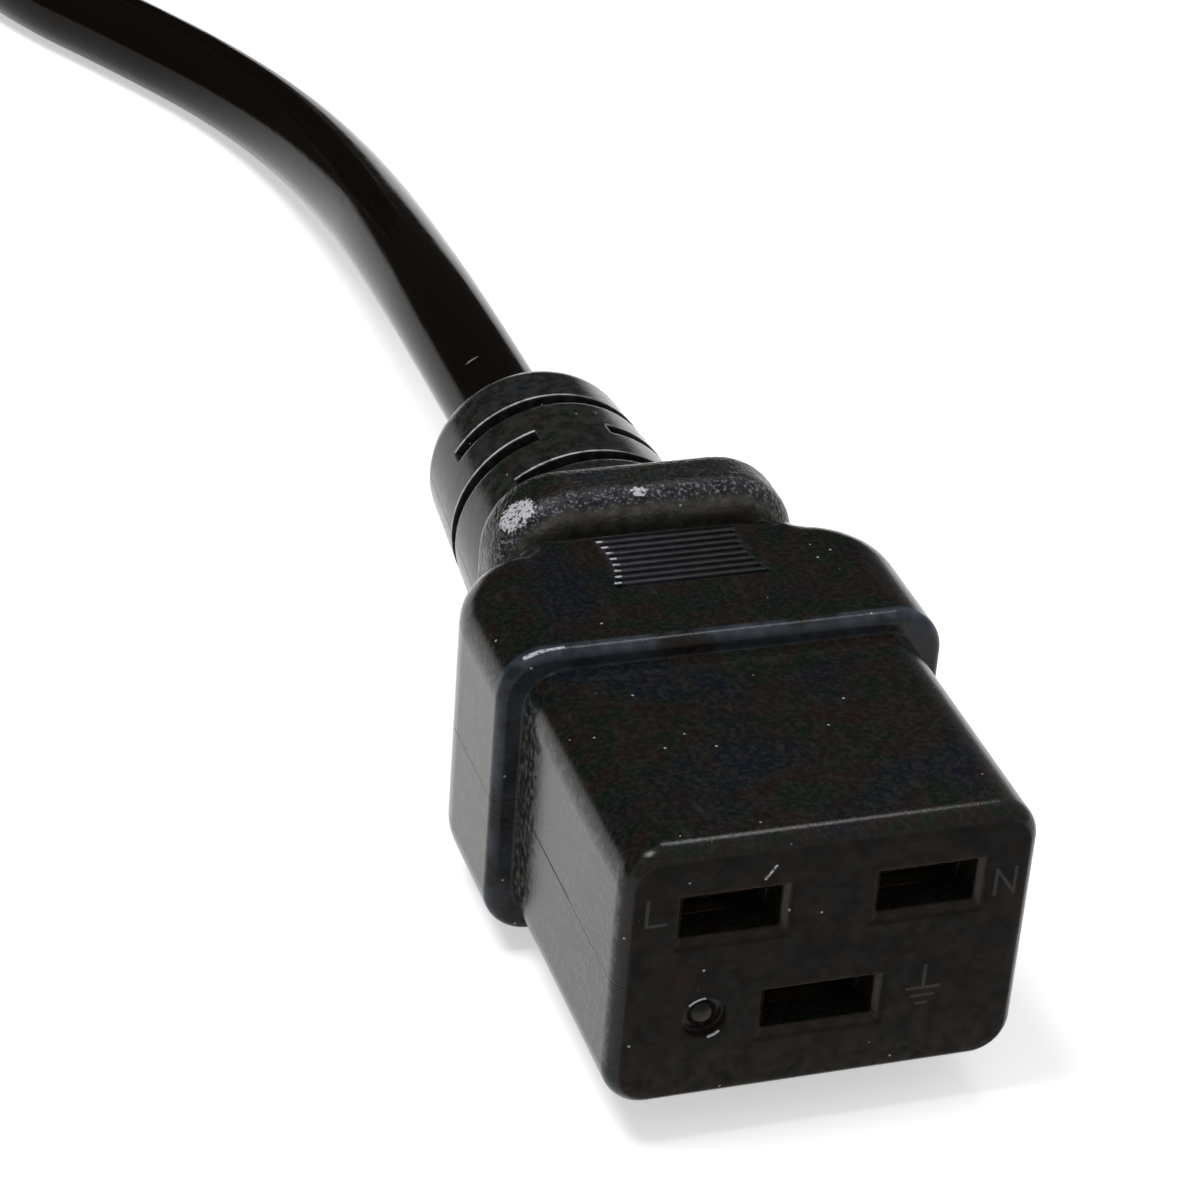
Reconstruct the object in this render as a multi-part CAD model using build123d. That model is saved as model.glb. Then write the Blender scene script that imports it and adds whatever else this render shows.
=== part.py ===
"""Moulded 16 A appliance connector on its cord.

Sizes are in millimetres. X runs across the mating face, Y from the mating face towards the cord and
Z upwards. The connector rests on its finger flange at Z = 0, with the middle of its length and width at
X = 0, Y = 0. The cord that is put away lies behind it as a tied hank, and the plug on its far end lies
in line behind the hank.

The connector and the plug are drawn about the cord's own axis, with the mating face at Y = 0, and
placed at the end.
"""
import math
import os

from build123d import *

# Nose, the block that goes into an inlet
nose_width = 27.7
nose_height = 19.6
nose_depth = 21.3
nose_corner = 2.8
nose_edge_round = 1.5
nose_wall = 3.0

# Contact slots in the nose, three in a triangle
pole_pitch = 13.0
pole_height = 4.5
earth_height = -3.5
pole_slot_width = 6.5
pole_slot_height = 3.0
earth_slot_width = 7.4
earth_slot_height = 2.9
slot_lead_in = 0.6

# Round dimple on the mating face, with a domed floor
dimple_diameter = 3.0
dimple_depth = 0.7
dimple_dome = 2.2
dimple_dome_height = 0.55
dimple_x = -7.8
dimple_height = -3.1

# Rear block, which stands proud of the nose all round and rounds in towards the neck
block_width = 31.2
block_height = 22.2
block_depth = 14.7
block_straight = 8.4
block_rear_width = 21.0
block_corner = 3.4
block_front_round = 0.7
block_rear_round = 1.3

# Finger grip, fine grooves across the top and the underside of the rear block
grip_grooves = 9
grip_pitch = 0.77
grip_groove_width = 0.38
grip_groove_depth = 0.35
grip_front_length = 11.0
grip_rear_length = 10.2
grip_waist = 0.6
grip_inset = 1.3

# Neck and the rolled finger flange behind it
neck_length = 0.9
neck_width = 19.4
neck_height = 19.6
neck_corner = 7.0
flange_width = 22.2
flange_height = 25.4
flange_thickness = 6.2
flange_corner = 5.5
flange_round = 2.2

# Strain relief, an oval boot that tapers to a round end and is slit in three rings
boot_length = 23.4
boot_width = 19.4
boot_height = 17.6
boot_end_width = 15.6
boot_end_height = 15.6
boot_end_round = 2.6
slit_width = 1.3
slit_floor_radius = 6.0
front_ring_from_flange = 7.2
ring_spacing = 4.7
front_slit_half_angle = 40.0
side_slit_half_angle = 71.0
rear_slit_half_angle = 62.0

# Cord and its three cores
cord_diameter = 7.8
cord_bend_share = 0.45
cord_start_in_flange = 2.0
cord_start_in_plug_boot = 7.0
core_diameter = 2.7
core_lay_radius = 1.7
core_lay_angle = 30.0
core_straight = 3.0
core_bend = 4.0
conductor_diameter = 2.0

# Contacts, folded from sheet, each with a crimped barrel
contact_recess = 5.0
contact_length = 9.5
contact_sheet = 0.6
contact_mouth = 2.8
contact_grip = 1.6
contact_throat = 2.4
contact_grip_from_mouth = 2.5
pole_contact_width = 5.8
earth_contact_width = 6.7
barrel_diameter = 3.8
barrel_length = 6.0
fit_clearance = 0.2

# Carriers, the hard blocks that hold the contacts and the blades under the moulding
carrier_width = 23.0
carrier_height = 15.0
carrier_corner = 1.6
carrier_past_barrels = 0.5

# Plug on the far end: a shroud round three blades
shroud_wall = 2.7
shroud_corner = 4.4
shroud_clearance = 0.5
shroud_depth = 16.5
shroud_edge_round = 0.7
plug_block_depth = 27.0
plug_taper_length = 9.0
plug_neck_corner = 7.5
blade_recess = 3.5
blade_thickness = 2.0
blade_tip_chamfer = 0.6
pole_blade_width = 5.6
earth_blade_width = 6.5
plug_carrier_length = 6.0

# Hank of put-away cord: flat loops stacked one on another and held by two ties
hank_turns = 4
hank_fold_radius = 23.4
hank_run = 68.0
hank_x = -22.0
hank_y = 193.0
tie_thickness = 1.0
tie_width = 4.8
tie_head = 5.0

# Points of the cord where it isn't wound, between the connector, the hank and the plug
lead_points = [
    (0.0, 52.0, 12.7),
    (0.9, 72.0, 10.4),
    (1.9, 91.5, 7.1),
    (0.8, 109.5, 4.8),
    (-3.1, 124.3, 3.9),
    (-9.8, 137.5, 3.9),
    (-16.9, 150.0, 3.9),
    (-21.2, 163.5, 3.9),
    (-22.2, 178.5, 4.4),
]
tail_points = [
    (-22.0, 275.0, 36.1),
    (-22.4, 290.0, 33.8),
    (-21.6, 305.0, 29.2),
    (-18.8, 320.0, 23.8),
    (-14.8, 334.5, 18.8),
    (-11.2, 349.0, 15.2),
    (-8.5, 363.5, 13.0),
]
plug_x = -8.5
plug_entry_y = 378.0

# Stations along the connector, from its mating face
block_y = nose_depth
block_end_y = block_y + block_depth
flange_y = block_end_y + neck_length
boot_y = flange_y + flange_thickness
connector_length = boot_y + boot_length
contact_end_y = contact_recess + contact_length
barrel_end_y = contact_end_y + barrel_length
carrier_end_y = barrel_end_y + carrier_past_barrels

# Room for a contact, and the carrier's middle, which is that of the contacts in it
chamber_height = contact_mouth + 2 * contact_sheet + 2 * fit_clearance
carrier_middle = (pole_height + earth_height) / 2

# Stations along the plug, from the rim of its shroud
plug_width = nose_width + 2 * (shroud_clearance + shroud_wall)
plug_height = nose_height + 2 * (shroud_clearance + shroud_wall)
plug_carrier_end_y = shroud_depth + plug_carrier_length
plug_barrel_end_y = plug_carrier_end_y + barrel_length
plug_boot_y = plug_block_depth + plug_taper_length
plug_length = plug_boot_y + boot_length

cord_radius = cord_diameter / 2
hank_height = (hank_turns + 1) * cord_diameter
axis_height = flange_height / 2
plug_axis_height = plug_height / 2


def across(y):
    """The plane across the axis at station y, with its own x along X and its own y along Z."""
    return Plane.XZ.offset(-y)


def prism(sketch, start, end):
    """A sketch across the axis, carried along Y from start to end."""
    return extrude(across(start) * sketch, amount=end - start, dir=(0, 1, 0))


def rear_block():
    """The block behind the nose: its plan rounds in to the neck, and its long edges are rounded."""
    half, rear_half = block_width / 2, block_rear_width / 2
    turn_y = block_y + block_straight
    right = Line((half, block_y), (half, turn_y))
    right += TangentArc((half, turn_y), (rear_half, block_end_y), tangent=(0, 1))
    rear = Line((rear_half, block_end_y), (-rear_half, block_end_y))
    left = mirror(right, Plane.YZ)
    front = Line((-half, block_y), (half, block_y))
    plan = make_face(right + rear + left + front)
    solid = extrude(plan, amount=block_height / 2, both=True)
    level_edges = solid.edges().group_by(Axis.Z)
    side_edges = [e for e in level_edges[0] + level_edges[-1] if abs(e.center().X) > rear_half / 2]
    solid = fillet(side_edges, block_corner)
    solid = fillet(solid.faces().sort_by(Axis.Y)[0].edges(), block_front_round)
    inset = block_rear_round / 2
    for side in (-1, 1):
        corner = Box(block_width, block_rear_round, block_rear_round)
        roller = Pos(0, -inset, -side * inset) * Rot(0, 90, 0) * Cylinder(block_rear_round, block_width)
        solid -= Pos(0, block_end_y - inset, side * (block_height / 2 - inset)) * (corner - roller)
    return solid


def grip():
    """Cutters for the finger grip. The grooves are a little shorter in the middle of the row."""
    middle = (grip_grooves - 1) / 2
    last_y = block_end_y - grip_inset
    cutters = []
    for number in range(grip_grooves):
        from_middle = (number - middle) / middle
        even_length = grip_rear_length + (grip_front_length - grip_rear_length) * (1 + from_middle) / 2
        length = even_length - 2 * grip_waist * (1 - from_middle**2)
        groove = Box(length, grip_groove_width, 2 * grip_groove_depth)
        y = last_y - number * grip_pitch
        cutters += [Pos(0, y, side * block_height / 2) * groove for side in (-1, 1)]
    return cutters


def flange():
    """The rolled flange that a finger pulls against."""
    outline = RectangleRounded(flange_width, flange_height, flange_corner)
    solid = prism(outline, flange_y, flange_y + flange_thickness)
    ends = solid.faces().sort_by(Axis.Y)
    return fillet(ends[0].edges() + ends[-1].edges(), flange_round)


def slit(y, middle_angle, half_angle):
    """Cutter for one slit of the boot. Angles are in degrees, from +X towards +Z."""
    reach = boot_width
    profile = Pos((slit_floor_radius + reach) / 2, y) * Rectangle(reach - slit_floor_radius, slit_width)
    ring = revolve(profile, Axis.Y, 2 * half_angle)
    return Rot(0, -(middle_angle + half_angle), 0) * ring


def boot(start):
    """The strain relief, from its wide oval end at start to its round end."""
    wide = across(start) * Ellipse(boot_width / 2, boot_height / 2)
    narrow = across(start + boot_length) * Ellipse(boot_end_width / 2, boot_end_height / 2)
    solid = loft([wide, narrow])
    solid = fillet(solid.edges().sort_by(Axis.Y)[-1], boot_end_round)
    front_ring = start + front_ring_from_flange
    for side in (-1, 1):
        upright, sideways = 90 * side, 90 - 90 * side
        solid -= slit(front_ring, upright, front_slit_half_angle)
        solid -= slit(front_ring + ring_spacing, sideways, side_slit_half_angle)
        solid -= slit(front_ring + 2 * ring_spacing, upright, rear_slit_half_angle)
    return solid


def poles(line_side):
    """Each pole's name, place across the axis and sizes. line_side is -1 or 1, the side of the line pole."""
    pole = (pole_slot_width, pole_slot_height, pole_contact_width, pole_blade_width)
    earth = (earth_slot_width, earth_slot_height, earth_contact_width, earth_blade_width)
    half = pole_pitch / 2
    return [
        ("line", (line_side * half, pole_height), pole),
        ("neutral", (-line_side * half, pole_height), pole),
        ("earth", (0, earth_height), earth),
    ]


def lay_place(place):
    """Where the core of the pole at this place lies in the cord, in a three-leaf bundle."""
    x, z = place
    if x == 0:
        return 0, -core_lay_radius
    angle = math.radians(core_lay_angle)
    return math.copysign(core_lay_radius * math.cos(angle), x), core_lay_radius * math.sin(angle)


def core(place, start, end):
    """An insulated core from the end of its crimp barrel to the cord's own end, with its bare tip."""
    x, z = place
    lay_x, lay_z = lay_place(place)
    route = FilletPolyline(
        (x, start, z),
        (x, start + core_straight, z),
        (lay_x, end - core_straight, lay_z),
        (lay_x, end, lay_z),
        radius=core_bend,
    )
    insulated = sweep(across(start) * Pos(x, z) * Circle(core_diameter / 2), route)
    bare = prism(Pos(x, z) * Circle(conductor_diameter / 2), start - barrel_length, start)
    return insulated + bare


def barrel(start):
    """A crimp barrel round the bare end of a core, on the pole's own axis."""
    ring = Circle(barrel_diameter / 2) - Circle(conductor_diameter / 2 + fit_clearance)
    return prism(ring, start, start + barrel_length)


def contact(width):
    """A receptacle folded from sheet: two leaves that flare at the mouth and grip a blade."""
    leaf = [
        (contact_recess, contact_mouth / 2),
        (contact_recess + contact_grip_from_mouth, contact_grip / 2),
        (contact_recess + 2 * contact_grip_from_mouth, contact_throat / 2),
        (contact_end_y, contact_throat / 2),
    ]
    outside = [(y, z + contact_sheet) for y, z in leaf]
    inside = leaf[:-1] + [(contact_end_y - contact_sheet, contact_throat / 2)]
    outline = outside + [(y, -z) for y, z in reversed(outside)]
    outline += [(y, -z) for y, z in inside] + list(reversed(inside))
    folded = extrude(make_face(Plane.YZ * Polyline(*outline, close=True)), amount=width / 2, both=True)
    return folded + barrel(contact_end_y)


def blade(width):
    """A plug blade with an eased tip, and the crimp barrel behind it."""
    outline = Rectangle(width, blade_thickness)
    solid = prism(outline, blade_recess, plug_carrier_end_y)
    solid = chamfer(solid.faces().sort_by(Axis.Y)[0].edges(), blade_tip_chamfer)
    return solid + barrel(plug_carrier_end_y)


def carrier_block(start, end):
    """A carrier before anything is taken out of it."""
    outline = RectangleRounded(carrier_width, carrier_height, carrier_corner)
    return prism(Pos(0, carrier_middle) * outline, start, end)


def carrier():
    """The connector's hard block, with a chamber for each contact and a hole for its barrel."""
    solid = carrier_block(nose_wall, carrier_end_y)
    for _, (x, z), (_, _, width, _) in poles(-1):
        chamber = Pos(x, z) * Rectangle(width + 2 * fit_clearance, chamber_height)
        hole = Pos(x, z) * Circle(barrel_diameter / 2 + fit_clearance)
        solid -= prism(chamber, nose_wall, contact_end_y)
        solid -= prism(hole, contact_end_y, carrier_end_y)
    return solid


def plug_carrier():
    """The plug's hard block, which is the floor of its shroud and holds the blades."""
    solid = carrier_block(shroud_depth, plug_carrier_end_y)
    for _, (x, z), (_, _, _, width) in poles(1):
        solid -= prism(Pos(x, z) * Rectangle(width, blade_thickness), shroud_depth, plug_carrier_end_y)
    return solid


def cord_end(start, end):
    """The cord inside a boot."""
    return prism(Circle(cord_radius), start, end)


def connector_outside():
    """The connector's moulding before anything is taken out of it."""
    nose = prism(RectangleRounded(nose_width, nose_height, nose_corner), 0, block_y + block_depth / 2)
    nose = fillet(nose.faces().sort_by(Axis.Y)[0].edges(), nose_edge_round)
    neck_outline = RectangleRounded(neck_width, neck_height, neck_corner)
    neck = prism(neck_outline, block_end_y - block_depth / 2, boot_y - flange_thickness / 2)
    root = prism(Ellipse(boot_width / 2, boot_height / 2), boot_y - flange_thickness / 2, boot_y)
    return nose + rear_block() + neck + flange() + root + boot(boot_y)


def face_cuts():
    """Cutters for the mating face: the contact slots with their lead-ins, and the dimple."""
    cutters = []
    for _, (x, z), (width, height, _, _) in poles(-1):
        mouth = Rectangle(width + 2 * slot_lead_in, height + 2 * slot_lead_in)
        cutters.append(prism(Pos(x, z) * Rectangle(width, height), 0, nose_wall))
        wide = across(0) * Pos(x, z) * mouth
        narrow = across(slot_lead_in) * Pos(x, z) * Rectangle(width, height)
        cutters.append(loft([wide, narrow]))
    well = prism(Pos(dimple_x, dimple_height) * Circle(dimple_diameter / 2), 0, dimple_depth)
    dome_y = dimple_depth - dimple_dome_height + dimple_dome / 2
    dome = Pos(dimple_x, dome_y, dimple_height) * Sphere(dimple_dome / 2)
    cutters.append(well - dome)
    return cutters


def plug_outside():
    """The plug's moulding before anything is taken out of it."""
    outline = RectangleRounded(plug_width, plug_height, shroud_corner)
    block = prism(outline, 0, plug_block_depth)
    block = fillet(block.faces().sort_by(Axis.Y)[0].edges(), shroud_edge_round)
    wide = across(plug_block_depth) * outline
    narrow = across(plug_boot_y) * RectangleRounded(boot_width, boot_height, plug_neck_corner)
    return block + loft([wide, narrow]) + boot(plug_boot_y)


def plug_cavity():
    """The room inside the shroud, where the nose of such a connector goes in."""
    grown = 2 * shroud_clearance
    outline = RectangleRounded(nose_width + grown, nose_height + grown, nose_corner + shroud_clearance)
    return prism(outline, 0, shroud_depth)


def connector():
    """The connector's pieces by name, about the cord's axis."""
    entry_y = flange_y + cord_start_in_flange
    pieces = {"contact_carrier": carrier(), "cord_in_connector": cord_end(entry_y, connector_length)}
    cores = {}
    for name, place, (_, _, width, _) in poles(-1):
        pieces[name + "_contact"] = Pos(place[0], 0, place[1]) * contact(width)
        cores[name + "_core"] = core(place, barrel_end_y, entry_y)
    filled = carrier_block(nose_wall, carrier_end_y)
    taken = [filled, pieces["cord_in_connector"], *cores.values(), *face_cuts(), *grip()]
    return {"connector_overmould": connector_outside() - taken} | pieces | cores


def plug():
    """The plug's pieces by name, about the cord's axis."""
    entry_y = plug_boot_y + cord_start_in_plug_boot
    pieces = {"plug_carrier": plug_carrier(), "cord_in_plug": cord_end(entry_y, plug_length)}
    filled = carrier_block(shroud_depth, plug_carrier_end_y)
    taken = [plug_cavity(), filled, pieces["cord_in_plug"]]
    for name, place, (_, _, _, width) in poles(1):
        pieces["plug_" + name + "_blade"] = Pos(place[0], 0, place[1]) * blade(width)
        pieces["plug_" + name + "_core"] = core(place, plug_barrel_end_y, entry_y)
        crimp = prism(Circle(barrel_diameter / 2), plug_carrier_end_y, plug_barrel_end_y)
        taken += [Pos(place[0], 0, place[1]) * crimp, pieces["plug_" + name + "_core"]]
    return {"plug_overmould": plug_outside() - taken} | pieces


def bend_radius(before, corner, after):
    """The bend at a corner of the cord's route, which takes its share of the shorter run beside it."""
    coming, going = Vector(corner) - Vector(before), Vector(after) - Vector(corner)
    half_turn = math.radians(coming.get_angle(going)) / 2
    return cord_bend_share * min(coming.length, going.length) / math.tan(half_turn)


def cord_tube(points):
    """A stretch of cord along its route, with a bend at each corner."""
    corners = zip(points, points[1:], points[2:])
    radii = [bend_radius(*corner) for corner in corners]
    route = FilletPolyline(*points, radius=radii)
    tube = sweep(Plane(origin=route @ 0, z_dir=route % 0) * Circle(cord_radius), route)
    share = tube.volume / (math.pi * cord_radius**2 * route.length)
    print("bend radii", [round(radius) for radius in radii])
    print("length", round(route.length, 1), "volume against section times length", round(share, 4))
    return tube


def hank_tie(side):
    """A tie round one long side of the hank, with its head inside the loop."""
    band = RectangleRounded(
        cord_diameter + 2 * tie_thickness, hank_height + 2 * tie_thickness, 2 * tie_thickness
    )
    band -= Rectangle(cord_diameter, hank_height)
    head = Box(tie_thickness + tie_head / 2, tie_width + 2 * tie_thickness, tie_head)
    head_x = -side * (cord_radius + tie_thickness + head.bounding_box().size.X / 2)
    x = hank_x + (1 + side) * hank_fold_radius
    y = hank_y + hank_run / 2
    loop = prism(band, -tie_width / 2, tie_width / 2) + Pos(head_x, 0, 0) * head
    return Pos(x, y, tie_thickness + hank_height / 2) * loop


def hank():
    """The outer shape of the wound cord: long loops, all of one size, stacked upright."""
    outer = SlotCenterToCenter(hank_run, 2 * (hank_fold_radius + cord_radius))
    inner = SlotCenterToCenter(hank_run, 2 * (hank_fold_radius - cord_radius))
    ring = extrude(Rot(0, 0, 90) * (outer - inner), amount=hank_height)
    return Pos(hank_x + hank_fold_radius, hank_y + hank_run / 2, tie_thickness) * ring


def cord():
    """The cord's stretches by name: from the connector, wound, and on to the plug."""
    exit_point = (0, connector_length / 2, axis_height)
    first_layer = tie_thickness + cord_radius
    last_layer = first_layer + hank_turns * cord_diameter
    wound_from = (hank_x, hank_y, first_layer)
    wound_to = (hank_x, hank_y + hank_run, last_layer)
    plug_entry = (plug_x, plug_entry_y, plug_axis_height)
    lead = cord_tube([exit_point, *lead_points, wound_from])
    tail = cord_tube([wound_to, *tail_points, plug_entry])
    ties = Compound(children=[hank_tie(-1), hank_tie(1)])
    return {"cord_lead": lead, "cord_hank": hank() - lead - tail, "cord_tail": tail, "hank_ties": ties}


connector_place = Pos(0, -connector_length / 2, axis_height)
plug_place = Pos(plug_x, plug_entry_y + plug_length, plug_axis_height) * Rot(0, 0, 180)
nodes = {name: connector_place * piece for name, piece in connector().items()}
nodes |= {name: plug_place * piece for name, piece in plug().items()}
nodes |= cord()

os.makedirs("parts", exist_ok=True)
for name, shape in nodes.items():
    export_step(shape, f"parts/{name}.step")
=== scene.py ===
"""The looks of a moulded appliance connector on its cord, on a white floor under soft light.

Sizes are in metres unless a comment says otherwise. X runs across the mating face, Y from the mating face
towards the cord and Z upwards from the floor. Materials are measured in millimetres.
"""
import math

import bpy
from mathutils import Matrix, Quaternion, Vector

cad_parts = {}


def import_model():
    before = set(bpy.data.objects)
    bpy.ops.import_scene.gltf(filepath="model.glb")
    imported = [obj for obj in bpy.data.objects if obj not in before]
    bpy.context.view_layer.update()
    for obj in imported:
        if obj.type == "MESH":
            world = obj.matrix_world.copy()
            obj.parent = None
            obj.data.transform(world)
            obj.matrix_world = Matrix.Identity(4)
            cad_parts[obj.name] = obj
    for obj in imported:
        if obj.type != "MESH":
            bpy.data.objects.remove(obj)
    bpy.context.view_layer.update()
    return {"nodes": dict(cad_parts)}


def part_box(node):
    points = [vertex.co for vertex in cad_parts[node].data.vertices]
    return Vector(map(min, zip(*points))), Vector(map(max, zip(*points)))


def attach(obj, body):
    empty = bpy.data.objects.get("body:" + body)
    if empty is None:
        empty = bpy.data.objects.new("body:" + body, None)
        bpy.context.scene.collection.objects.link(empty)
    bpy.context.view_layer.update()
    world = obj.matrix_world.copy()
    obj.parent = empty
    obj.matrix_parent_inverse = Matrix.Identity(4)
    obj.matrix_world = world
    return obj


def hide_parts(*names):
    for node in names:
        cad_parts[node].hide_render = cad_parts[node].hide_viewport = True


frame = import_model()
scene = bpy.context.scene

mm_per_metre = 1000

# Camera: heading from +Y towards +X, dip below level and roll in degrees, lens and sensor in mm
camera_place = (-0.07894, -0.20358, 0.15149)
camera_heading = 20.01
camera_dip = 31.29
camera_roll = 4.54
camera_lens = 111.29
camera_sensor = 36.0
camera_near = 0.01

# Cord: the points of its route where it isn't wound
lead_points = [
    (0.0, 0.052, 0.0127),
    (0.0009, 0.072, 0.0104),
    (0.0019, 0.0915, 0.0071),
    (0.0008, 0.1095, 0.0048),
    (-0.0031, 0.1243, 0.0039),
    (-0.0098, 0.1375, 0.0039),
    (-0.0169, 0.1500, 0.0039),
    (-0.0212, 0.1635, 0.0039),
    (-0.0222, 0.1785, 0.0044),
]
tail_points = [
    (-0.022, 0.275, 0.0361),
    (-0.0224, 0.290, 0.0338),
    (-0.0216, 0.305, 0.0292),
    (-0.0188, 0.320, 0.0238),
    (-0.0148, 0.3345, 0.0188),
    (-0.0112, 0.349, 0.0152),
    (-0.0085, 0.3635, 0.0130),
]
points_per_fold = 6
cord_ring_steps = 16
cord_line_steps = 12

# Marks on the mating face in mm: a letter's size, half a stroke's width, and places about the cord's axis
letter_height = 1.9
letter_width = 1.3
stroke_half_width = 0.16
line_mark_place = (-11.6, 5.6)
neutral_mark_place = (11.6, 4.5)
earth_mark_place = (6.9, -3.1)

# Earth sign, in letter widths and heights: its stem, and half the length and the height of each bar
earth_stem = 0.9
earth_bars = [(0.85, 0.0), (0.55, -0.32), (0.25, -0.64)]

# Other details of the moulding in mm: along Y, and half widths and heights about the cord's axis
face_end = 0.35
face_full = 0.1
dimple_place = (-7.8, -3.1)
dimple_radius = 1.55
shoulder_from = -11.95
shoulder_to = -10.9
grip_rear = 1.45
grip_front = -4.71
grip_margin = 0.25
grip_half_width = 4.5
grip_fade = 0.9
grip_height = 11.1
grip_depth = 0.4
grip_full = 0.1
flange_from = 3.65
flange_to = 9.85
crest_from = 4.2
crest_to = 5.4
lip_from = 0.08
lip_to = 0.62
lip_half_width = 11.4
lip_half_height = 7.4
parting_half_width = 0.07
film_and_sheen_from = 12.2
film_and_sheen_full = 13.0
edge_radius = 0.30

# Soft edges of these details in mm
shoulder_soft = 0.2
grip_soft = 0.1
flange_soft = 0.3
boot_fade = 0.5
lip_soft = 0.05
lip_fade = 0.1
slit_highlight_soft = 0.03

# Slits of the boot: where each one's rear edge lies in mm, its half angle, and if it opens up and down.
# Then the painted highlight strip behind each edge, and where its painted light begins and ends across the
# boot, in mm
slits = [(17.70, 40.0, True), (22.40, 71.0, False), (27.10, 62.0, True)]
slit_highlight_from = 0.04
slit_highlight_to = 0.26
slit_highlight_right = 7.0
slit_highlight_left = -3.0

# Painted highlights in mm, two ends and half a width each: bright grains on the flange, then smooth strokes
# on the shoulder's corner
painted_glint_places = [
    ((-9.7, 5.8, 23.6), (-9.1, 5.6, 24.1), 1.45),
    ((-1.0, 4.9, 25.2), (-0.6, 4.9, 25.2), 0.5),
]
shoulder_glints = [
    ((-13.8, -11.40, 23.40), (-12.6, -11.40, 23.75), 0.20),
    ((-12.6, -11.40, 23.75), (-11.2, -11.30, 23.80), 0.15),
]

# Nick on the mating face in mm: its two ends about the cord's axis and half its width
nick_ends = [(-4.70, 7.12), (-4.07, 8.00)]
nick_half_width = 0.11

# Painted highlights on arcs of the dimple's rim, in degrees and mm, and on the left ends of the grip's
# ridges, in mm
rim_glint_arcs = [(132.0, 94.0), (-50.0, -76.0)]
rim_steps = 3
rim_half_width = 0.12
grip_ridges = 8
grip_rear_end = 5.1
grip_front_end = 5.5
grip_waist = 0.6
ridge_glint_length = 0.3
ridge_glint_half_width = 0.15

# Shares: what is left at the right of the grip's painted sheen and of the slits' painted highlights, and of
# the boot's mottle, and how the grains of the painted glints crowd and fade
grip_sheen_right_share = 0.45
slit_highlight_right_share = 0.15
boot_share = 0.6
glint_crowding = 0.24
glint_fade = 0.4

# Noise in the finishes: size in mm and detail, and how far some of it is drawn out along Y
film_and_sheen_grain = (0.5, 5.0)
glint_and_nick_grain = (0.24, 3.0)
flange_pits = (0.34, 3.0)
jacket_tone = (5.0, 2.0)
jacket_lines = (0.45, 2.0)
metal_lines = (0.12, 2.0)
tie_tone = (2.0, 2.0)
floor_tone = (40.0, 2.0)
scuff_stretch = 3.0
jacket_stretch = 14.0
metal_stretch = 20.0

# Levels where a place begins and is full, in noise, waves or facing sideways. Most noise is in the first
usual_levels = (0.3, 0.7)
film_and_sheen_levels = (0.40, 0.70)
film_and_sheen_facing = (0.86, 0.97)
sparkle_levels = (0.53, 0.64)
glint_levels = (0.58, 0.74)
nick_and_glint_levels = (0.34, 0.50)
stripe_levels = (0.62, 0.66)

# Patches: size in mm, detail, the levels where they begin and are full, and what is left between them
red_patches = (2.2, 3.0, 0.38, 0.62)
blue_patches = (6.0, 2.0, 0.48, 0.70)
grain_patches = (0.36, 2.0, 0.38, 0.72)
scuff_patches = (0.9, 6.0, 0.60, 0.76)
shoulder_sheen_patches = (3.2, 3.0, 0.36, 0.56)
face_patches = (2.4, 4.0, 0.36, 0.66)
mottle_patches = (0.9, 4.0, 0.3, 0.7)
slit_highlight_patches = (0.9, 3.0, 0.34, 0.60, 0.4)
filler_patches = (0.35, 3.0, 0.55, 0.8)
dull_patches = (1.4, 4.0, 0.4, 0.7)

# Specks of dust: spacing and radius in mm, and the share of places that has one
moulding_specks = (1.7, 0.12, 0.6)
jacket_specks = (3.0, 0.09, 0.12)

# Roughness: size of its patches in mm, detail, least and most, or the last two alone
plastic_roughness = (0.5, 4.0, 0.12, 0.22)
face_roughness = (0.8, 3.0, 0.80, 0.95)
jacket_roughness = (1.6, 4.0, 0.08, 0.13)
carrier_roughness = (0.8, 2.0, 0.55, 0.7)
core_roughness = (0.9, 2.0, 0.35, 0.5)
tie_roughness = (0.7, 2.0, 0.3, 0.42)
flange_roughness = (0.14, 0.30)
metal_roughness = (0.22, 0.36)
floor_roughness = 0.9

# Relief: size of its patches in mm, detail and depth in mm, or the depth alone
plastic_waves = (4.0, 1.0, 0.015)
plastic_relief = (0.22, 3.0, 0.010)
carrier_relief = (0.25, 2.0, 0.01)
core_relief = (0.3, 2.0, 0.006)
pit_depth = 0.14
mark_depth = 0.06
parting_depth = 0.05
jacket_line_depth = 0.006
metal_line_depth = 0.004
tooth_depth = 0.15

# Wave textures: the scale of the cores' stripes and how uneven they are, and the scale of the ties' teeth
stripe_scale = 0.12
stripe_distortion = 0.6
tooth_scale = 0.3

# Faint tints of the black plastic, its grain and scuffs, the film on its sides that is partly painted sheen,
# and dust
green_tint = (0.0040, 0.0088, 0.0046)
red_tint = (0.0120, 0.0064, 0.0046)
blue_tint = (0.0038, 0.0062, 0.0115)
grain_tint = (0.0160, 0.0155, 0.0145)
scuff_tint = (0.020, 0.020, 0.0195)
film_and_sheen_tint = (0.072, 0.077, 0.066)
dust_tint = (0.34, 0.34, 0.33)

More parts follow.
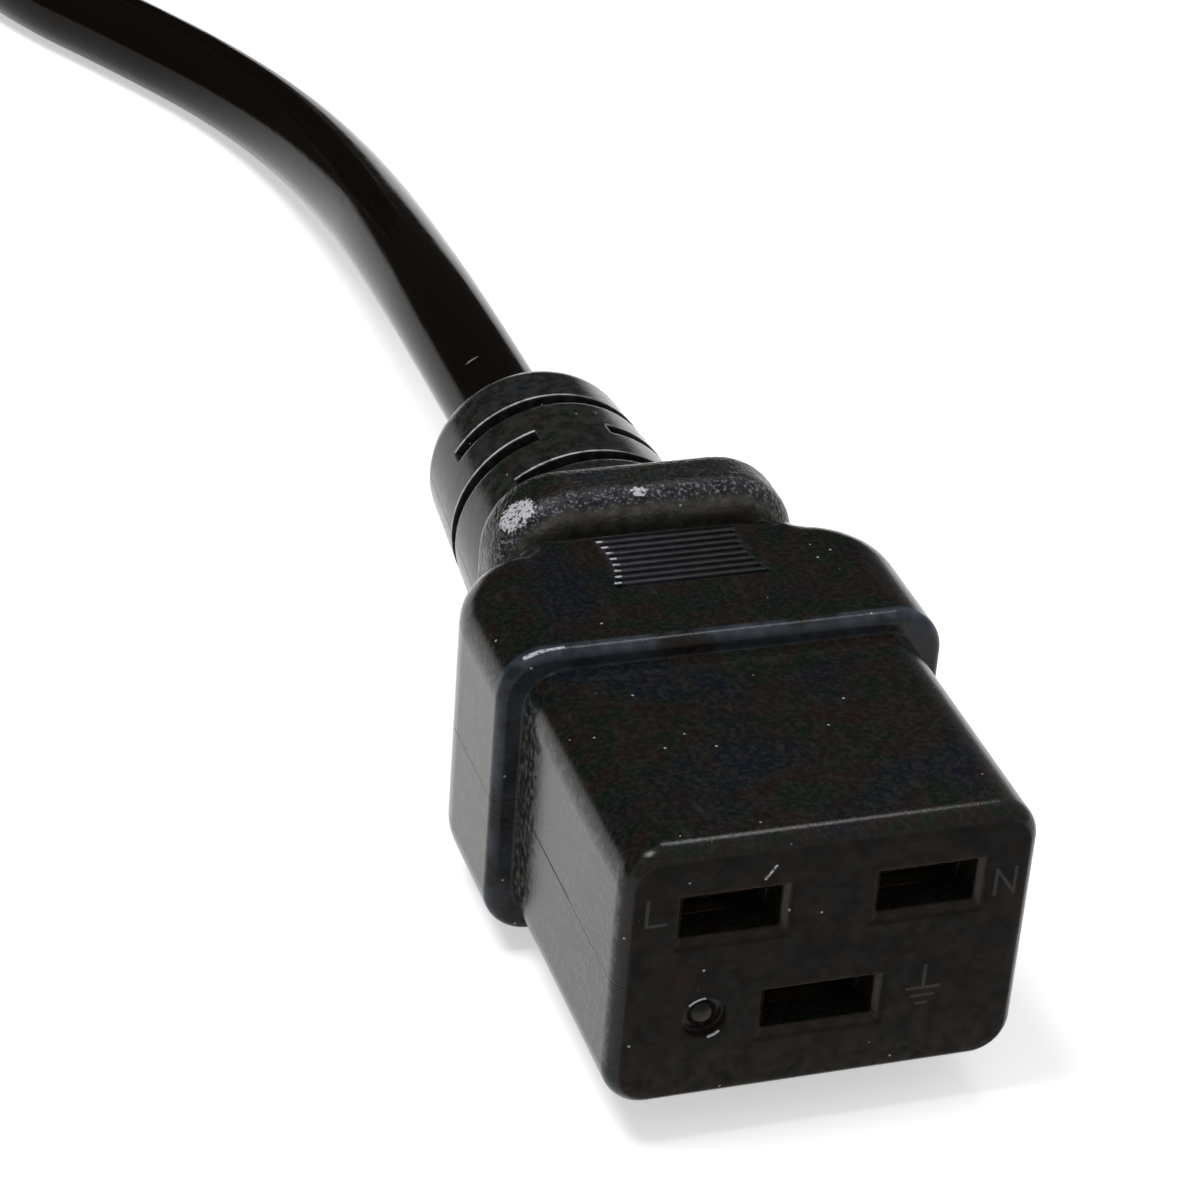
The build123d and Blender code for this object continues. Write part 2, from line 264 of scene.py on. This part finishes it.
# Tints of the connector's details, dark and pale where there are two. The shoulder's and the grip's tints are
# painted sheen, the flange's is partly painted light, and the sparkle, glint, nick-and-glint and slit tints
# are painted highlights
face_tints = ((0.0044, 0.0050, 0.0042), (0.0130, 0.0078, 0.0058))
low_face_tint = (0.024, 0.019, 0.015)
shoulder_sheen_tints = ((0.027, 0.033, 0.045), (0.043, 0.052, 0.067))
grip_sheen_tints = ((0.022, 0.020, 0.026), (0.038, 0.035, 0.043))
boot_tint = (0.036, 0.038, 0.036)
flange_front_painted_light_tints = ((0.040, 0.037, 0.030), (0.085, 0.078, 0.063))
crest_tints = ((0.008, 0.008, 0.010), (0.030, 0.030, 0.034))
lip_tints = ((0.014, 0.009, 0.005), (0.026, 0.017, 0.011))
mark_tint = (0.040, 0.037, 0.035)
painted_sparkle_tint = (0.15, 0.15, 0.165)
painted_glint_tint = (0.50, 0.51, 0.54)
nick_and_glint_tint = (0.44, 0.45, 0.48)
slit_highlight_tint = (0.50, 0.505, 0.51)
parting_tint = (0.002, 0.002, 0.002)

# Tints of the other finishes, two each where they mix
jacket_tints = ((0.0056, 0.0036, 0.0021), (0.0046, 0.0035, 0.0025))
jacket_dust_tint = (0.16, 0.16, 0.15)
scratch_tint = (0.30, 0.29, 0.28)
carrier_tints = ((0.003, 0.003, 0.003), (0.010, 0.0095, 0.009))
brass_tints = ((0.68, 0.50, 0.24), (0.52, 0.36, 0.16))
plating_tints = ((0.66, 0.64, 0.58), (0.52, 0.50, 0.45))
line_tints = ((0.085, 0.036, 0.016), (0.100, 0.044, 0.020))
neutral_tints = ((0.014, 0.060, 0.26), (0.018, 0.072, 0.30))
earth_tints = ((0.020, 0.160, 0.030), (0.62, 0.46, 0.02))
tie_tints = ((0.010, 0.010, 0.010), (0.018, 0.017, 0.016))
floor_tints = ((0.93, 0.93, 0.93), (0.95, 0.95, 0.95))

# How strongly the mouldings and the jacket mirror
moulding_specular = 0.17
jacket_specular = 0.08

# Scratch on the cord in mm: its two ends and half its width
scratch = ((-2.41, 41.95, 15.90), (-1.14, 42.18, 16.54), 0.20)

# Studio: the floor's half width and glow, the light of the sky and of the dark wall behind, and the lamps
floor_reach = 3.0
floor_glow = 0.50
sky_light = 0.5
horizon_light = 1.0
horizon_height = 0.05
wall_light = 0.03
wall_facing = (-0.42, 0.91, 0.0)
wall_from = 0.30
wall_full = 0.56
lamps = {
    "main_lamp": ((-0.35, 0.05, 0.93), 0.35, 5.0),
    "edge_lamp": ((0.29, 0.50, 0.82), 0.22, 0.9),
}


class Shading:
    """The nodes of a material or of the world."""

    def __init__(self, tree):
        self.nodes, self.links = tree.nodes, tree.links

    def add(self, kind, inputs=None, **settings):
        """A new node with its settings, and with its inputs set or linked."""
        node = self.nodes.new(kind)
        for name, value in settings.items():
            setattr(node, name, value)
        for name, value in (inputs or {}).items():
            self.give(node.inputs[name], value)
        return node

    def give(self, socket, value):
        """Sets a socket, or links it where the value is another node's output."""
        if isinstance(value, bpy.types.NodeSocket):
            self.links.new(value, socket)
        else:
            socket.default_value = value

    def span(self, value, low, high, to_low=0.0, to_high=1.0):
        """Runs smoothly from one value to another as the input goes from low to high."""
        limits = {"From Min": low, "From Max": high, "To Min": to_low, "To Max": to_high}
        node = self.add("ShaderNodeMapRange", {"Value": value, **limits}, interpolation_type="SMOOTHSTEP")
        return node.outputs[0]

    def math(self, operation, first, second=0.0, third=0.0):
        """One sum on two or three numbers."""
        return self.add("ShaderNodeMath", {0: first, 1: second, 2: third}, operation=operation).outputs[0]

    def band(self, value, low, high, soft):
        """1 where the input lies between two limits, and 0 outside them."""
        above = self.span(value, low - soft, low + soft)
        return self.math("MULTIPLY", above, self.span(value, high + soft, high - soft))

    def overlap(self, first, *others):
        """1 only where all the inputs are."""
        for other in others:
            first = self.math("MULTIPLY", first, other)
        return first

    def vector(self, operation, first, second):
        """One sum on two vectors."""
        return self.add("ShaderNodeVectorMath", {0: first, 1: second}, operation=operation).outputs


class Finish(Shading):
    """A material being made. Its textures lie on the object in millimetres."""

    def __init__(self, name):
        self.material = bpy.data.materials.new(name)
        self.material.use_nodes = True
        super().__init__(self.material.node_tree)
        self.shader = self.nodes["Principled BSDF"]
        coordinates = self.add("ShaderNodeTexCoord")
        scaled = self.add("ShaderNodeVectorMath", {0: coordinates.outputs["Object"]}, operation="SCALE")
        scaled.inputs["Scale"].default_value = mm_per_metre
        self.place = scaled.outputs[0]
        self.axes = self.add("ShaderNodeSeparateXYZ", {0: self.place}).outputs
        facing = self.add("ShaderNodeNewGeometry").outputs["Normal"]
        self.sidelong = self.math("ABSOLUTE", self.add("ShaderNodeSeparateXYZ", {0: facing}).outputs["X"])

    def shade(self, **inputs):
        """Sets or links the shader's own sockets; an underscore in a name stands for a space."""
        for name, value in inputs.items():
            self.give(self.shader.inputs[name.replace("_", " ")], value)

    def stretched(self, factor):
        """The place on the object, drawn out along Y by a factor."""
        return self.vector("MULTIPLY", self.place, (1.0, 1 / factor, 1.0))[0]

    def noise(self, size, detail, place=None):
        """Soft noise from 0 to 1 with patches of about this size."""
        inputs = {"Vector": place or self.place, "Scale": 1 / size, "Detail": detail}
        return self.add("ShaderNodeTexNoise", inputs).outputs[0]

    def patches(self, size, detail, begin, full, between=0.0, place=None):
        """Patches of noise: 1 over the full level, and what is left between them under the other."""
        return self.span(self.noise(size, detail, place), begin, full, between)

    def uneven(self, size, detail, least, most):
        """A value that wanders between two limits in patches of about this size."""
        return self.span(self.noise(size, detail), *usual_levels, least, most)

    def mix(self, factor, first, second):
        """A colour between two others."""
        inputs = {0: factor, 6: opaque(first), 7: opaque(second)}
        return self.add("ShaderNodeMix", inputs, data_type="RGBA").outputs[2]

    def specks(self, spacing, radius, share):
        """Small round specks, scattered so that only a share of the places has one."""
        inputs = {"Vector": self.place, "Scale": 1 / spacing}
        cells = self.add("ShaderNodeTexVoronoi", inputs)
        lot = self.add("ShaderNodeSeparateColor", {0: cells.outputs["Color"]}).outputs[0]
        chosen = self.math("LESS_THAN", lot, share)
        near = self.span(cells.outputs["Distance"], radius / spacing, radius / spacing / 2)
        return self.math("MULTIPLY", near, chosen)

    def near(self, centre, radius, soft=0.15):
        """1 close to a point of the object, and 0 from this far off."""
        return self.span(self.vector("DISTANCE", self.place, centre)["Value"], radius, (1 - soft) * radius)

    def stroke(self, start, end, half_width):
        """1 on a straight stroke between two points of the object."""
        run = Vector(end) - Vector(start)
        offset = self.vector("SUBTRACT", self.place, start)[0]
        along = self.vector("DOT_PRODUCT", offset, tuple(run / run.length_squared))["Value"]
        share = self.add("ShaderNodeClamp", {0: along}).outputs[0]
        inputs = {0: tuple(run), "Scale": share}
        nearest = self.add("ShaderNodeVectorMath", inputs, operation="SCALE").outputs[0]
        gap = self.vector("DISTANCE", offset, nearest)["Value"]
        return self.span(gap, half_width, half_width / 2)

    def strokes(self, lines):
        """1 on any of some strokes, each given by its two ends and half its width."""
        marked = 0.0
        for line in lines:
            marked = self.math("MAXIMUM", marked, self.stroke(*line))
        return marked

    def bump(self, height, depth, normal=None):
        """A surface normal that follows a height, in millimetres of depth."""
        node = self.add("ShaderNodeBump", {"Height": height, "Distance": depth / mm_per_metre})
        if normal:
            self.give(node.inputs["Normal"], normal)
        return node.outputs[0]

    def relief(self, size, detail, depth, normal=None):
        """A surface normal that follows noise of this size and depth."""
        return self.bump(self.noise(size, detail), depth, normal)

    def eased_edges(self, radius):
        """A surface normal that rolls over sharp edges."""
        return self.add("ShaderNodeBevel", {"Radius": radius / mm_per_metre}, samples=6).outputs[0]


def opaque(colour):
    """A colour with its alpha, where it is a plain one."""
    return (*colour, 1.0) if isinstance(colour, tuple) else colour


def plastic(finish):
    """Colour, roughness and normal of black moulded plastic: fine grain, faint tints, scuffs, and sides with
    a film that is partly painted sheen.
    """
    tinted = finish.mix(finish.patches(*red_patches), green_tint, red_tint)
    tinted = finish.mix(finish.patches(*blue_patches), tinted, blue_tint)
    tinted = finish.mix(finish.patches(*grain_patches), tinted, grain_tint)
    scuffs = finish.patches(*scuff_patches, place=finish.stretched(scuff_stretch))
    scuffed = finish.mix(scuffs, tinted, scuff_tint)
    sideways = finish.math("ABSOLUTE", finish.axes[0])
    # Lighter film on the side walls only: partly dust, partly painted sheen where the sides mirror the bright
    # floor
    film_and_sheen = finish.overlap(finish.span(sideways, film_and_sheen_from, film_and_sheen_full), finish.noise(*film_and_sheen_grain))
    film_and_sheen = finish.overlap(finish.span(film_and_sheen, *film_and_sheen_levels), finish.span(finish.sidelong, *film_and_sheen_facing))
    colour = finish.mix(film_and_sheen, scuffed, film_and_sheen_tint)
    waves = finish.relief(*plastic_waves, finish.eased_edges(edge_radius))
    return colour, finish.uneven(*plastic_roughness), finish.relief(*plastic_relief, waves)


def dusted(finish, colour):
    """A moulding's colour with specks of dust on it."""
    return finish.mix(finish.specks(*moulding_specks), colour, dust_tint)


def plug_moulding():
    """The plug's plain black moulding."""
    finish = Finish("plug_moulding")
    colour, roughness, normal = plastic(finish)
    finish.shade(Base_Color=dusted(finish, colour))
    finish.shade(Roughness=roughness, Normal=normal, Specular_IOR_Level=moulding_specular)
    return finish.material


def on_face(across, up):
    """A point of the mating face in mm, from its place about the cord's axis."""
    return across, face_at, axis_at + up


def mark_strokes():
    """The strokes of the letters beside the line and neutral slots, and of the earth sign."""
    low_left, high_left, low_right, high_right = (-0.5, -0.5), (-0.5, 0.5), (0.5, -0.5), (0.5, 0.5)
    bars = [[(-half, up), (half, up)] for half, up in earth_bars]
    shapes = {
        line_mark_place: [(high_left, low_left), (low_left, low_right)],
        neutral_mark_place: [(low_left, high_left), (high_left, low_right), (low_right, high_right)],
        earth_mark_place: [[(0, earth_stem), (0, 0)], *bars],
    }
    strokes = []
    for (across, up), lines in shapes.items():
        for line in lines:
            ends = [on_face(across + x * letter_width, up + z * letter_height) for x, z in line]
            strokes.append((*ends, stroke_half_width))
    return strokes


def rim_glint_strokes():
    """Short strokes of painted highlight along arcs of the dimple's rim."""
    across, up = dimple_place
    strokes = []
    for first, last in rim_glint_arcs:
        angles = [math.radians(first + (last - first) * step / rim_steps) for step in range(rim_steps + 1)]
        turns = [(dimple_radius * math.cos(angle), dimple_radius * math.sin(angle)) for angle in angles]
        points = [on_face(across + x, up + z) for x, z in turns]
        strokes += [(*ends, rim_half_width) for ends in zip(points, points[1:])]
    return strokes


def ridge_glint_strokes():
    """Painted highlights on the left ends of the grip's ridges, which draw in towards its waist."""
    top = axis_at + grip_height
    strokes = []
    for number in range(grip_ridges):
        share = (number + 0.5) / grip_ridges
        along = grip_rear + (grip_front - grip_rear) * share
        even_end = grip_rear_end + (grip_front_end - grip_rear_end) * share
        left = 4 * grip_waist * share * (1 - share) - even_end
        strokes.append(((left, along, top), (left + ridge_glint_length, along, top), ridge_glint_half_width))
    return strokes


def painted_slit_highlights(finish, sideways, upright):
    """Painted highlights on the rear edges of the boot's slits, lightest at the left."""
    edges = 0.0
    for rear_edge, half_angle, opens_upright in slits:
        off, towards = (sideways, upright) if opens_upright else (upright, sideways)
        reach = finish.math("MULTIPLY", towards, math.tan(math.radians(half_angle)))
        limits = (rear_edge + slit_highlight_from, rear_edge + slit_highlight_to)
        ring = finish.band(finish.axes[1], *limits, slit_highlight_soft)
        edge = finish.overlap(ring, finish.math("LESS_THAN", off, reach))
        edges = finish.math("MAXIMUM", edges, edge)
    lit = finish.span(finish.axes[0], slit_highlight_right, slit_highlight_left, slit_highlight_right_share)
    return finish.overlap(edges, lit, finish.patches(*slit_highlight_patches))


def painted_glints(finish, grains):
    """Painted highlights of bright grains that crowd together towards their middles."""
    glint_area = finish.strokes(painted_glint_places)
    crowded = finish.math("MULTIPLY_ADD", glint_area, glint_crowding, grains)
    return finish.overlap(finish.span(crowded, *glint_levels), finish.span(glint_area, 0.0, glint_fade))


def regions(finish):
    """Where the details of the connector's moulding lie: each is 1 inside its own place."""
    across, along, up = finish.axes
    sideways = finish.math("ABSOLUTE", across)
    upright = finish.math("ABSOLUTE", finish.math("SUBTRACT", up, axis_at))
    dimple = finish.near(on_face(*dimple_place), dimple_radius)
    face = finish.span(along, face_at + face_end, face_at + face_full)
    off_face = finish.math("SUBTRACT", 1.0, face)
    # Painted sheen on the tops of the grip's ridges, fading towards the right
    grip_sheen_area = finish.overlap(
        finish.band(along, grip_front - grip_margin, grip_rear + grip_margin, grip_soft),
        finish.span(sideways, grip_half_width + grip_fade, grip_half_width),
        finish.span(upright, grip_height - grip_depth, grip_height - grip_full),
        finish.span(across, grip_half_width, -grip_half_width, grip_sheen_right_share),
    )
    lips = finish.overlap(
        finish.band(along, face_at + lip_from, face_at + lip_to, lip_soft),
        finish.span(sideways, lip_half_width + lip_fade, lip_half_width),
        finish.span(upright, lip_half_height + lip_fade, lip_half_height),
        finish.math("SUBTRACT", 1.0, dimple),
    )
    # Painted sheen: a bluish reflection on the shoulder's front face, in patches
    shoulder_sheen = finish.band(along, shoulder_from, shoulder_to, shoulder_soft)
    return {
        "face": finish.overlap(face, finish.math("SUBTRACT", 1.0, dimple)),
        "shoulder_sheen": finish.overlap(shoulder_sheen, finish.patches(*shoulder_sheen_patches)),
        "grip": grip_sheen_area,
        "flange": finish.band(along, flange_from, flange_to, flange_soft),
        "flange_front": finish.band(along, flange_from, crest_from, flange_soft),
        "crest": finish.band(along, crest_from, crest_to, flange_soft),
        "boot": finish.span(along, flange_to, flange_to + boot_fade),
        # Painted highlights on the slits' rear edges
        "slit_highlights": painted_slit_highlights(finish, sideways, upright),
        "lips": lips,
        "mark": finish.overlap(finish.strokes(mark_strokes()), face),
        "parting": finish.overlap(finish.span(upright, parting_half_width, 0.0), off_face),
    }


def connector_moulding():
    """The connector's moulding: a matte mating face with its marks, a grainy flange, a parting line, and
    painted sheen and highlights.
    """
    finish = Finish("connector_moulding")
    colour, roughness, normal = plastic(finish)
    region = regions(finish)
    mottle = finish.patches(*mottle_patches)
    boot_mottle = finish.math("MULTIPLY", mottle, boot_share)
    # Grain that breaks up the painted sparkles and glints, and the nick
    grains = finish.noise(*glint_and_nick_grain)
    nick = (*[on_face(*end) for end in nick_ends], nick_half_width)
    # A real nick on the mating face, with painted highlights on the shoulder's corner, the dimple's rim and
    # the ridges' left ends
    nick_and_glints = finish.strokes([*shoulder_glints, nick, *rim_glint_strokes(), *ridge_glint_strokes()])
    # Painted sparkles on the flange's crest, where the lamp's reflection falls
    crest_painted_sparkles = finish.overlap(finish.span(grains, *sparkle_levels), region["crest"])
    low_face = finish.overlap(region["face"], finish.span(finish.axes[2], axis_at, 0.0))
    layers = [
        (region["face"], finish.mix(finish.patches(*face_patches), *face_tints)),
        (finish.overlap(low_face, mottle), low_face_tint),
        # Painted sheen on the shoulder's front face
        (region["shoulder_sheen"], finish.mix(mottle, *shoulder_sheen_tints)),
        # Painted sheen on the grip, lighter at the left
        (region["grip"], finish.mix(mottle, *grip_sheen_tints)),
        (finish.overlap(region["boot"], boot_mottle), boot_tint),
        # Brownish tone on the flange's shaded front, paled as painted light
        (region["flange_front"], finish.mix(mottle, *flange_front_painted_light_tints)),
        (region["crest"], finish.mix(mottle, *crest_tints)),
        (region["lips"], finish.mix(mottle, *lip_tints)),
        (region["mark"], mark_tint),
        # Painted sparkles on the crest
        (crest_painted_sparkles, painted_sparkle_tint),
        # Painted highlights of bright grains on the flange
        (painted_glints(finish, grains), painted_glint_tint),
        # The nick, and the painted highlights
        (finish.overlap(nick_and_glints, finish.span(grains, *nick_and_glint_levels)), nick_and_glint_tint),
        # Painted highlights on the rear edges of the slits
        (region["slit_highlights"], slit_highlight_tint),
        (region["parting"], parting_tint),
    ]
    for place, tint in layers:
        colour = finish.mix(place, colour, tint)
    colour = dusted(finish, colour)
    roughness = finish.span(region["face"], 0.0, 1.0, roughness, finish.uneven(*face_roughness))
    flange_gloss = finish.span(mottle, 0.0, 1.0, *flange_roughness)
    roughness = finish.span(region["flange"], 0.0, 1.0, roughness, flange_gloss)
    pits = finish.overlap(finish.noise(*flange_pits), region["flange"])
    normal = finish.bump(pits, pit_depth, normal)
    normal = finish.bump(region["mark"], mark_depth, normal)
    normal = finish.bump(finish.math("SUBTRACT", 1.0, region["parting"]), parting_depth, normal)
    finish.shade(Base_Color=colour, Roughness=roughness, Normal=normal, Specular_IOR_Level=moulding_specular)
    return finish.material


def jacket():
    """The cord's smoother black jacket, with faint lines along it from drawing and a small scratch."""
    finish = Finish("cord_jacket")
    tint = finish.mix(finish.noise(*jacket_tone), *jacket_tints)
    dusty = finish.mix(finish.specks(*jacket_specks), tint, jacket_dust_tint)
    finish.shade(Base_Color=finish.mix(finish.stroke(*scratch), dusty, scratch_tint))
    finish.shade(Roughness=finish.uneven(*jacket_roughness))
    finish.shade(Specular_IOR_Level=jacket_specular)
    drawn = finish.noise(*jacket_lines, finish.stretched(jacket_stretch))
    finish.shade(Normal=finish.bump(drawn, jacket_line_depth))
    return finish.material


def hard_block():
    """The matte black of the carriers, flecked by its filler."""
    finish = Finish("carrier_black")
    finish.shade(Base_Color=finish.mix(finish.patches(*filler_patches), *carrier_tints))
    finish.shade(Roughness=finish.uneven(*carrier_roughness))
    finish.shade(Normal=finish.relief(*carrier_relief))
    return finish.material


def metal(name, pale, dull):
    """Stamped sheet metal, with fine drawn lines and duller patches."""
    finish = Finish(name)
    finish.shade(Base_Color=finish.mix(finish.patches(*dull_patches), pale, dull))
    finish.shade(Metallic=1.0)
    lines = finish.noise(*metal_lines, finish.stretched(metal_stretch))
    finish.shade(Roughness=finish.span(lines, *usual_levels, *metal_roughness))
    finish.shade(Normal=finish.bump(lines, metal_line_depth))
    return finish.material


def insulation(name, colour, stripe):
    """A core's soft insulation, with a stripe that winds round it."""
    finish = Finish(name)
    inputs = {"Vector": finish.place, "Scale": stripe_scale, "Distortion": stripe_distortion}
    bands = finish.add("ShaderNodeTexWave", inputs, bands_direction="DIAGONAL").outputs[1]
    finish.shade(Base_Color=finish.mix(finish.span(bands, *stripe_levels), colour, stripe))
    finish.shade(Roughness=finish.uneven(*core_roughness))
    finish.shade(Normal=finish.relief(*core_relief))
    return finish.material


def tie_nylon():
    """Black nylon of the ties, with the teeth of the strap across it."""
    finish = Finish("tie_nylon")
    finish.shade(Base_Color=finish.mix(finish.noise(*tie_tone), *tie_tints))
    finish.shade(Roughness=finish.uneven(*tie_roughness))
    inputs = {"Vector": finish.place, "Scale": tooth_scale}
    teeth = finish.add("ShaderNodeTexWave", inputs, bands_direction="Z").outputs[1]
    finish.shade(Normal=finish.bump(teeth, tooth_depth))
    return finish.material


def dress_nodes():
    """Gives each node of the model the finish that goes with the end of its name."""
    finishes = {
        "connector_overmould": connector_moulding(),
        "plug_overmould": plug_moulding(),
        "carrier": hard_block(),
        "contact": metal("contact_brass", *brass_tints),
        "blade": metal("blade_plating", *plating_tints),
        "line_core": insulation("core_brown", *line_tints),
        "neutral_core": insulation("core_blue", *neutral_tints),
        "earth_core": insulation("core_green_yellow", *earth_tints),
        "cord_in_connector": jacket(),
        "ties": tie_nylon(),
    }
    finishes["cord_in_plug"] = finishes["cord_in_connector"]
    for name, node in frame["nodes"].items():
        for ending, finish in finishes.items():
            if name.endswith(ending):
                node.data.materials.clear()
                node.data.materials.append(finish)
    return finishes


def middle(corners):
    """The middle of a box."""
    low, high = corners
    return (low + high) / 2


def fold_points(centre_y, first_angle, height):
    """Control points round one fold of the hank, clockwise. The spline touches the sides between them."""
    step = math.pi / points_per_fold
    reach = hank_radius / math.cos(step / 2)
    angles = [first_angle - (number + 0.5) * step for number in range(points_per_fold)]
    return [(hank_middle.x + reach * math.cos(a), centre_y + reach * math.sin(a), height) for a in angles]


def hank_points():
    """Control points of the wound cord: each turn climbs by one diameter on its way back."""
    left, right = hank_middle.x - hank_radius, hank_middle.x + hank_radius
    points = []
    for turn in range(hank_turns):
        height = hank_low.z + cord_radius + turn * cord_diameter
        above = height + cord_diameter
        points += [(left, near_y, height), (left, far_y, height)]
        points += fold_points(far_y, math.pi, height)
        points += [(right, far_y, height), (right, near_y, above)]
        points += fold_points(near_y, 0.0, above)
    return points + [(left, near_y, above), (left, far_y, above)]


def cord(finish):
    """The whole cord as one smooth line from the connector's boot to the plug's."""
    points = [tuple(cord_exit), *lead_points, *hank_points(), *tail_points, tuple(plug_entry)]
    curve = bpy.data.curves.new("cord", "CURVE")
    curve.dimensions = "3D"
    spline = curve.splines.new("NURBS")
    spline.points.add(len(points) - 1)
    for control, point in zip(spline.points, points):
        control.co = (*point, 1.0)
    spline.order_u = 3
    spline.use_endpoint_u = True
    spline.resolution_u = cord_line_steps
    curve.bevel_depth = cord_radius
    curve.bevel_resolution = cord_ring_steps
    curve.materials.append(finish)
    piece = bpy.data.objects.new("cord", curve)
    scene.collection.objects.link(piece)
    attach(piece, "root")
    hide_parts("cord_lead", "cord_hank", "cord_tail")
    on_cord = [node for name, node in frame["nodes"].items() if name.startswith("plug_")]
    on_cord += [frame["nodes"][name] for name in ("cord_in_connector", "cord_in_plug", "hank_ties")]


def floor():
    """A wide white floor that takes the object's shadow."""
    mesh = bpy.data.meshes.new("floor")
    corners = [(x * floor_reach, y * floor_reach, 0) for x, y in ((-1, -1), (1, -1), (1, 1), (-1, 1))]
    mesh.from_pydata(corners, [], [(0, 1, 2, 3)])
    finish = Finish("white_floor")
    finish.shade(Base_Color=finish.mix(finish.noise(*floor_tone), *floor_tints))
    finish.shade(Roughness=floor_roughness, Specular_IOR_Level=0.0)
    path = finish.add("ShaderNodeLightPath")
    seen = finish.math("MAXIMUM", path.outputs["Is Camera Ray"], path.outputs["Is Glossy Ray"])
    seen = finish.math("MAXIMUM", seen, path.outputs["Is Transmission Ray"])
    finish.shade(Emission_Color=(1, 1, 1, 1), Emission_Strength=finish.math("MULTIPLY", seen, floor_glow))
    mesh.materials.append(finish.material)
    piece = bpy.data.objects.new("floor", mesh)
    scene.collection.objects.link(piece)


def lamp(name, place, size, power):
    """A round soft lamp that faces the object."""
    light = bpy.data.lights.new(name, "AREA")
    light.shape = "DISK"
    light.size = size
    light.energy = power
    piece = bpy.data.objects.new(name, light)
    piece.location = place
    piece.rotation_mode = "QUATERNION"
    piece.rotation_quaternion = (-Vector(place)).to_track_quat("-Z", "Y")
    scene.collection.objects.link(piece)


def world():
    """An even sky over a white horizon, with a dark wall behind the object that its top faces mirror."""
    surroundings = bpy.data.worlds.new("studio")
    surroundings.use_nodes = True
    sky = Shading(surroundings.node_tree)
    direction = sky.add("ShaderNodeTexCoord").outputs["Generated"]
    height = sky.add("ShaderNodeSeparateXYZ", {0: direction}).outputs["Z"]
    towards_wall = sky.vector("DOT_PRODUCT", direction, wall_facing)["Value"]
    above = sky.span(towards_wall, wall_from, wall_full, sky_light, wall_light)
    light = sky.span(height, 0.0, horizon_height, horizon_light, above)
    background = sky.nodes["Background"]
    sky.give(background.inputs["Strength"], light)
    sky.give(background.inputs["Color"], (1, 1, 1, 1))
    scene.world = surroundings


def camera():
    """The camera at the photograph's angle."""
    heading, dip = math.radians(camera_heading), math.radians(camera_dip)
    forward = Vector((math.sin(heading) * math.cos(dip), math.cos(heading) * math.cos(dip), -math.sin(dip)))
    data = bpy.data.cameras.new("camera")
    data.sensor_width = camera_sensor
    data.lens = camera_lens
    data.clip_start = camera_near
    piece = bpy.data.objects.new("camera", data)
    piece.location = camera_place
    piece.rotation_mode = "QUATERNION"
    roll = Quaternion((0, 0, 1), math.radians(camera_roll))
    piece.rotation_quaternion = forward.to_track_quat("-Z", "Y") @ roll
    scene.collection.objects.link(piece)
    scene.camera = piece


# Places taken from the model: of the mating face and the cord's axis in mm, and of the cord in metres
exit_low, exit_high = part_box("cord_in_connector")
exit_middle = middle((exit_low, exit_high))
face_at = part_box("connector_overmould")[0].y * mm_per_metre
axis_at = exit_middle.z * mm_per_metre
cord_diameter = exit_high.z - exit_low.z
cord_radius = cord_diameter / 2
cord_exit = Vector((exit_middle.x, exit_high.y, exit_middle.z))
entry_low, entry_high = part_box("cord_in_plug")
entry_middle = middle((entry_low, entry_high))
plug_entry = Vector((entry_middle.x, entry_low.y, entry_middle.z))
hank_low, hank_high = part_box("cord_hank")
hank_middle = middle((hank_low, hank_high))
hank_radius = (hank_high.x - hank_low.x - cord_diameter) / 2
hank_turns = round((hank_high.z - hank_low.z) / cord_diameter) - 1
near_y = hank_low.y + cord_radius + hank_radius
far_y = hank_high.y - cord_radius - hank_radius

camera()
finishes = dress_nodes()
cord(finishes["cord_in_connector"])
floor()
for lamp_name, lamp_values in lamps.items():
    lamp(lamp_name, *lamp_values)
world()
scene.view_settings.view_transform = "Standard"
